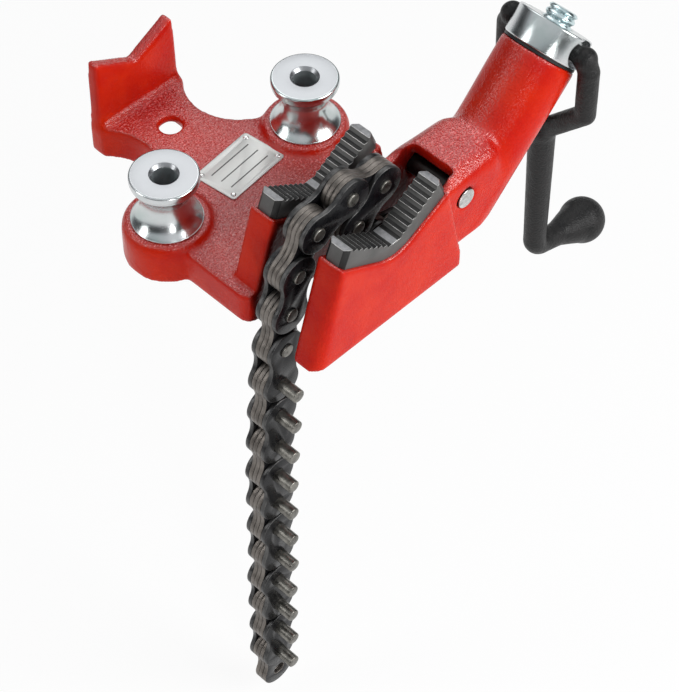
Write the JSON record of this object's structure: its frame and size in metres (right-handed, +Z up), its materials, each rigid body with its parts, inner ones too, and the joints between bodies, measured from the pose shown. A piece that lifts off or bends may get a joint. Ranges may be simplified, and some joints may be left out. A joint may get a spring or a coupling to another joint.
{
  "type": "chain pipe vise",
  "caption": "Bench chain pipe vise: cast foot with bending spools and pipe rest, toothed V jaws, a slanted arm with a screw, nut and folding crank handle, and a hanging leaf chain.",
  "frame": {"origin": "middle of the line between the two bench bolt holes, on the flat underside", "axes": "+X along the arm, away from the chain's free side; +Y towards the pipe rest; +Z up, away from the bench"},
  "size_m": [0.2955, 0.2097, 0.4208],
  "materials": {
    "red_paint": "glossy red paint over a sand casting",
    "dark_jaw_steel": "dark oxide with bright worn edges",
    "bright_steel": "bare steel",
    "zinc_plate": "bright zinc plating",
    "plate_metal": "fine brushed",
    "black_washer": "black oxide",
    "black_handle": "black finish over a casting",
    "chain_black": "oiled black",
    "chain_pin_steel": "oiled dark steel",
    "chain_brown": "oiled brown-grey steel"
  },
  "bodies": {
    "base": {"base_casting": "red_paint", "rear_jaw": "dark_jaw_steel", "front_jaw": "dark_jaw_steel", "jaw_dowels": "bright_steel", "nameplate": "plate_metal", "nameplate_rivets": "bright_steel", "guide_pin": "bright_steel", "thrust_washer": "black_washer"},
    "spool_left": {"bending_spool_left": "zinc_plate"},
    "spool_right": {"bending_spool_right": "zinc_plate"},
    "nut": {"handle_nut": "zinc_plate"},
    "handle": {"crank_handle": "black_handle"},
    "screw": {"chain_screw": "zinc_plate"},
    "link_01": {"chain_outer_link_01": "chain_black", "chain_pins_01": "chain_pin_steel"},
    "link_02": {"chain_inner_link_01": "chain_brown"},
    "link_03": {"chain_outer_link_02": "chain_black", "chain_pins_02": "chain_pin_steel"},
    "link_04": {"chain_inner_link_02": "chain_brown"},
    "link_05": {"chain_outer_link_03": "chain_black", "chain_pins_03": "chain_pin_steel"},
    "link_06": {"chain_inner_link_03": "chain_brown"},
    "link_07": {"chain_outer_link_04": "chain_black", "chain_pins_04": "chain_pin_steel"},
    "link_08": {"chain_inner_link_04": "chain_brown"},
    "link_09": {"chain_outer_link_05": "chain_black", "chain_pins_05": "chain_pin_steel"},
    "link_10": {"chain_inner_link_05": "chain_brown"},
    "link_11": {"chain_outer_link_06": "chain_black", "chain_pins_06": "chain_pin_steel"},
    "link_12": {"chain_inner_link_06": "chain_brown"},
    "link_13": {"chain_outer_link_07": "chain_black", "chain_pins_07": "chain_pin_steel"},
    "link_14": {"chain_inner_link_07": "chain_brown"},
    "link_15": {"chain_outer_link_08": "chain_black", "chain_pins_08": "chain_pin_steel"},
    "link_16": {"chain_inner_link_08": "chain_brown"},
    "link_17": {"chain_outer_link_09": "chain_black", "chain_pins_09": "chain_pin_steel"},
    "link_18": {"chain_inner_link_09": "chain_brown"},
    "link_19": {"chain_outer_link_10": "chain_black", "chain_pins_10": "chain_pin_steel"},
    "link_20": {"chain_inner_link_10": "chain_brown"},
    "link_21": {"chain_outer_link_11": "chain_black", "chain_pins_11": "chain_pin_steel"},
    "link_22": {"chain_inner_link_11": "chain_brown"}
  },
  "joints": [
    {"name": "spool_left_turn", "type": "hinge", "parent": "base", "child": "spool_left", "pos_m": [-0.052, 0, 0.0253], "axis": [0, 0, 1], "continuous": true},
    {"name": "spool_right_turn", "type": "hinge", "parent": "base", "child": "spool_right", "pos_m": [0.052, 0, 0.0253], "axis": [0, 0, 1], "continuous": true},
    {"name": "nut_turn", "type": "hinge", "parent": "base", "child": "nut", "pos_m": [0.1521, -0.0865, 0.0793], "axis": [0.7071, 0, 0.7071], "range_deg": [-140, 80]},
    {"name": "handle_fold", "type": "hinge", "parent": "nut", "child": "handle", "pos_m": [0.1521, -0.0865, 0.0793], "axis": [0, 1, 0], "range_deg": [-135, 15]},
    {"name": "screw_travel", "type": "slide", "parent": "base", "child": "screw", "axis": [0.7071, 0, 0.7071], "range_m": [-0.005, 0.01]},
    {"name": "chain_joint_01", "type": "hinge", "parent": "screw", "child": "link_01", "pos_m": [0.0827, -0.0865, 0.0099], "axis": [0, 1, 0], "range_deg": [-5, 5]},
    {"name": "chain_joint_02", "type": "hinge", "parent": "link_01", "child": "link_02", "pos_m": [0.0574, -0.0865, 0.00769], "axis": [0, 1, 0], "range_deg": [-5, 10]},
    {"name": "chain_joint_03", "type": "hinge", "parent": "link_02", "child": "link_03", "pos_m": [0.03286, -0.0865, 0.01426], "axis": [0, 1, 0], "range_deg": [-5, 10]},
    {"name": "chain_joint_04", "type": "hinge", "parent": "link_03", "child": "link_04", "pos_m": [0.01231, -0.0865, 0.02919], "axis": [0, 1, 0], "range_deg": [-5, 15]},
    {"name": "chain_joint_05", "type": "hinge", "parent": "link_04", "child": "link_05", "pos_m": [-0.00189, -0.0865, 0.05025], "axis": [0, 1, 0], "range_deg": [-5, 10]},
    {"name": "chain_joint_06", "type": "hinge", "parent": "link_05", "child": "link_06", "pos_m": [0.01771, -0.0865, 0.0664], "axis": [0, 1, 0], "range_deg": [0, 20]},
    {"name": "chain_joint_07", "type": "hinge", "parent": "link_06", "child": "link_07", "pos_m": [-0.00645, -0.0865, 0.07425], "axis": [0, 1, 0], "range_deg": [-5, 20]},
    {"name": "chain_joint_08", "type": "hinge", "parent": "link_07", "child": "link_08", "pos_m": [-0.03074, -0.0865, 0.06683], "axis": [0, 1, 0], "range_deg": [-5, 20]},
    {"name": "chain_joint_09", "type": "hinge", "parent": "link_08", "child": "link_09", "pos_m": [-0.04494, -0.0865, 0.04577], "axis": [0, 1, 0], "range_deg": [-5, 20]},
    {"name": "chain_joint_10", "type": "hinge", "parent": "link_09", "child": "link_10", "pos_m": [-0.05109, -0.0865, 0.02112], "axis": [0, 1, 0], "range_deg": [-5, 20]},
    {"name": "chain_joint_11", "type": "hinge", "parent": "link_10", "child": "link_11", "pos_m": [-0.05506, -0.0865, -0.00396], "axis": [0, 1, 0], "range_deg": [-5, 20]},
    {"name": "chain_joint_12", "type": "hinge", "parent": "link_11", "child": "link_12", "pos_m": [-0.0586, -0.0865, -0.02912], "axis": [0, 1, 0], "range_deg": [-12, 20]},
    {"name": "chain_joint_13", "type": "hinge", "parent": "link_12", "child": "link_13", "pos_m": [-0.06037, -0.0865, -0.05446], "axis": [0, 1, 0], "range_deg": [-12, 20]},
    {"name": "chain_joint_14", "type": "hinge", "parent": "link_13", "child": "link_14", "pos_m": [-0.06214, -0.0865, -0.07979], "axis": [0, 1, 0], "range_deg": [-12, 20]},
    {"name": "chain_joint_15", "type": "hinge", "parent": "link_14", "child": "link_15", "pos_m": [-0.06347, -0.0865, -0.10516], "axis": [0, 1, 0], "range_deg": [-12, 20]},
    {"name": "chain_joint_16", "type": "hinge", "parent": "link_15", "child": "link_16", "pos_m": [-0.06391, -0.0865, -0.13056], "axis": [0, 1, 0], "range_deg": [-12, 20]},
    {"name": "chain_joint_17", "type": "hinge", "parent": "link_16", "child": "link_17", "pos_m": [-0.06435, -0.0865, -0.15595], "axis": [0, 1, 0], "range_deg": [-12, 20]},
    {"name": "chain_joint_18", "type": "hinge", "parent": "link_17", "child": "link_18", "pos_m": [-0.06435, -0.0865, -0.18135], "axis": [0, 1, 0], "range_deg": [-12, 20]},
    {"name": "chain_joint_19", "type": "hinge", "parent": "link_18", "child": "link_19", "pos_m": [-0.06568, -0.0865, -0.20672], "axis": [0, 1, 0], "range_deg": [-12, 20]},
    {"name": "chain_joint_20", "type": "hinge", "parent": "link_19", "child": "link_20", "pos_m": [-0.06568, -0.0865, -0.23212], "axis": [0, 1, 0], "range_deg": [-12, 20]},
    {"name": "chain_joint_21", "type": "hinge", "parent": "link_20", "child": "link_21", "pos_m": [-0.06568, -0.0865, -0.25752], "axis": [0, 1, 0], "range_deg": [-12, 20]},
    {"name": "chain_joint_22", "type": "hinge", "parent": "link_21", "child": "link_22", "pos_m": [-0.06613, -0.0865, -0.28291], "axis": [0, 1, 0], "range_deg": [-12, 20]}
  ],
  "couplings": [
    {"joint": "screw_travel", "follows": "nut_turn", "m_per_rad": -0.00063662}
  ]
}
